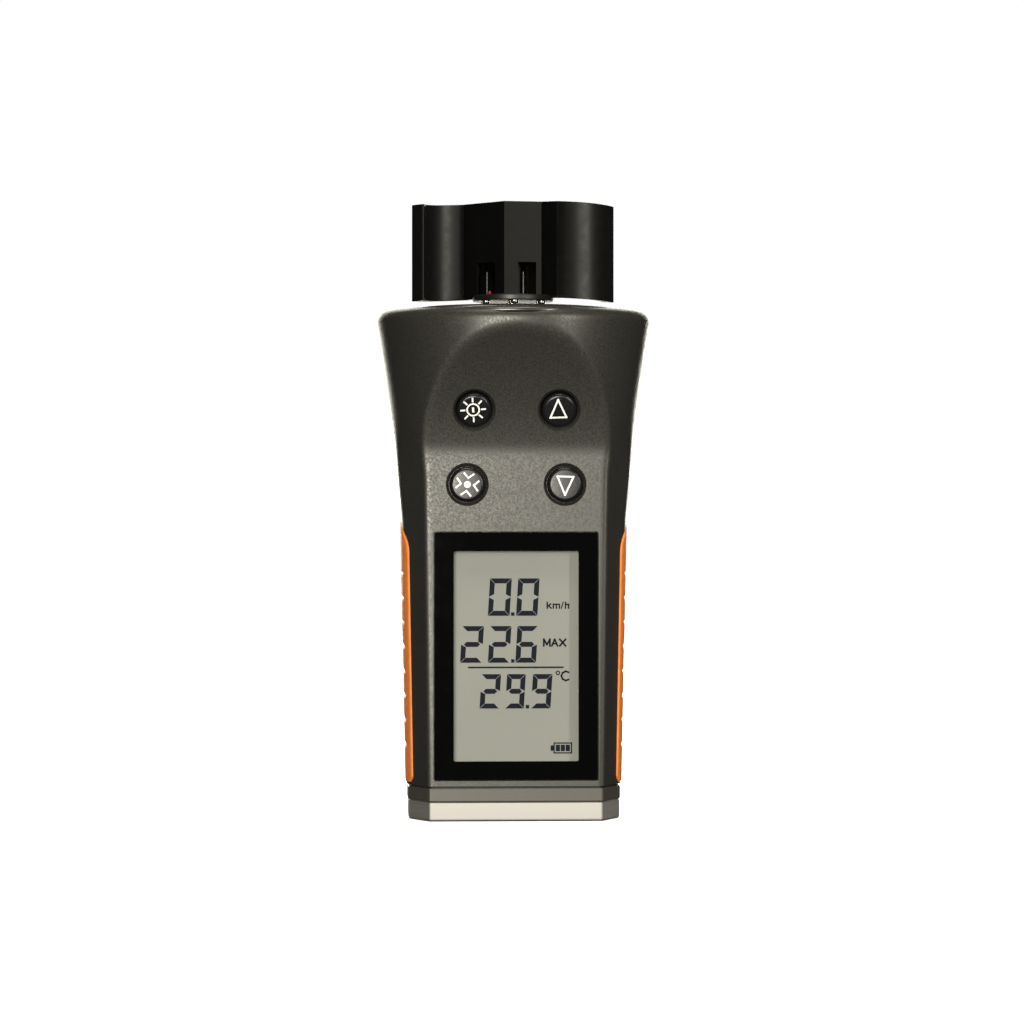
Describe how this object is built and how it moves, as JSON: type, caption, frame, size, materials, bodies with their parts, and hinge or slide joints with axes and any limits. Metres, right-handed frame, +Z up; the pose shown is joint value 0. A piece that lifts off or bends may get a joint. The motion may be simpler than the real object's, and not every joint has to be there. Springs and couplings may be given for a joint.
{
  "type": "handheld wind meter",
  "caption": "Pocket wind meter with a black curved-blade vertical-axis rotor above a flared grey keypad housing, a tall display, orange side grips and a metal end cap.",
  "frame": {"origin": "centre of the end cap's underside", "axes": "+Z up along the rotor's axis, -Y out of the display, +X to the user's right"},
  "size_m": [0.0726, 0.059, 0.1634],
  "materials": {
    "housing": "satin metallic grey lacquer on moulded plastic",
    "band": "matte grey",
    "end_cap": "brushed lengthwise",
    "grip": "matte orange",
    "window": "polished, black border with a clear centre",
    "display": "grey-green reflective liquid crystal",
    "rotor": "semi-gloss black",
    "button": "glossy black with white symbols",
    "component": "matte black",
    "steel": "bright steel",
    "brass": "turned",
    "board": "solder mask",
    "seal": "matte",
    "white_plastic": "matte",
    "cell": "printed sleeve",
    "jewel": "polished"
  },
  "bodies": {
    "housing": {"front_shell": "housing", "rear_shell": "housing", "head_cap": "housing", "end_band": "band", "end_cap": "end_cap", "end_gasket": "seal", "tripod_socket": "brass", "left_grip": "grip", "right_grip": "grip", "display_window": "window", "window_seal": "seal", "lcd_panel": "display", "lcd_frame": "white_plastic", "backlight_panel": "white_plastic", "circuit_board": "board", "processor_chip": "component", "sensor_board": "board", "hall_sensor": "component", "temperature_sensor": "component", "battery_holder": "component", "rotor_post": "steel", "base_screw_1": "steel", "rear_screw_1": "steel", "base_screw_2": "steel", "rear_screw_2": "steel", "base_screw_3": "steel", "rear_screw_3": "steel", "base_screw_4": "steel", "rear_screw_4": "steel", "battery_1": "cell", "battery_contact_1": "steel", "battery_spring_1": "steel", "battery_2": "cell", "battery_contact_2": "steel", "battery_spring_2": "steel", "switch_power": "component", "switch_up": "component", "switch_rotor": "component", "switch_down": "component"},
    "rotor": {"rotor": "rotor", "lower_bush": "brass", "bearing_jewel": "jewel", "rotor_magnet_1": "steel", "rotor_magnet_2": "steel", "rotor_magnet_3": "steel", "rotor_magnet_4": "steel", "rotor_magnet_5": "steel", "rotor_magnet_6": "steel"},
    "power_key": {"button_power": "button"},
    "up_key": {"button_up": "button"},
    "rotor_key": {"button_rotor": "button"},
    "down_key": {"button_down": "button"}
  },
  "joints": [
    {"name": "rotor_spin", "type": "hinge", "parent": "housing", "child": "rotor", "pos_m": [0, 0, 0.15], "axis": [0, 0, 1], "continuous": true},
    {"name": "power_press", "type": "slide", "parent": "housing", "child": "power_key", "axis": [0, 0.9519, 0.3063], "range_m": [0, 0.0008], "stiffness_N_per_m": 1200, "springref_m": -0.0004},
    {"name": "up_press", "type": "slide", "parent": "housing", "child": "up_key", "axis": [0, 0.9519, 0.3063], "range_m": [0, 0.0008], "stiffness_N_per_m": 1200, "springref_m": -0.0004},
    {"name": "rotor_press", "type": "slide", "parent": "housing", "child": "rotor_key", "axis": [0, 1, 0], "range_m": [0, 0.0008], "stiffness_N_per_m": 1200, "springref_m": -0.0004},
    {"name": "down_press", "type": "slide", "parent": "housing", "child": "down_key", "axis": [0, 1, 0], "range_m": [0, 0.0008], "stiffness_N_per_m": 1200, "springref_m": -0.0004}
  ]
}
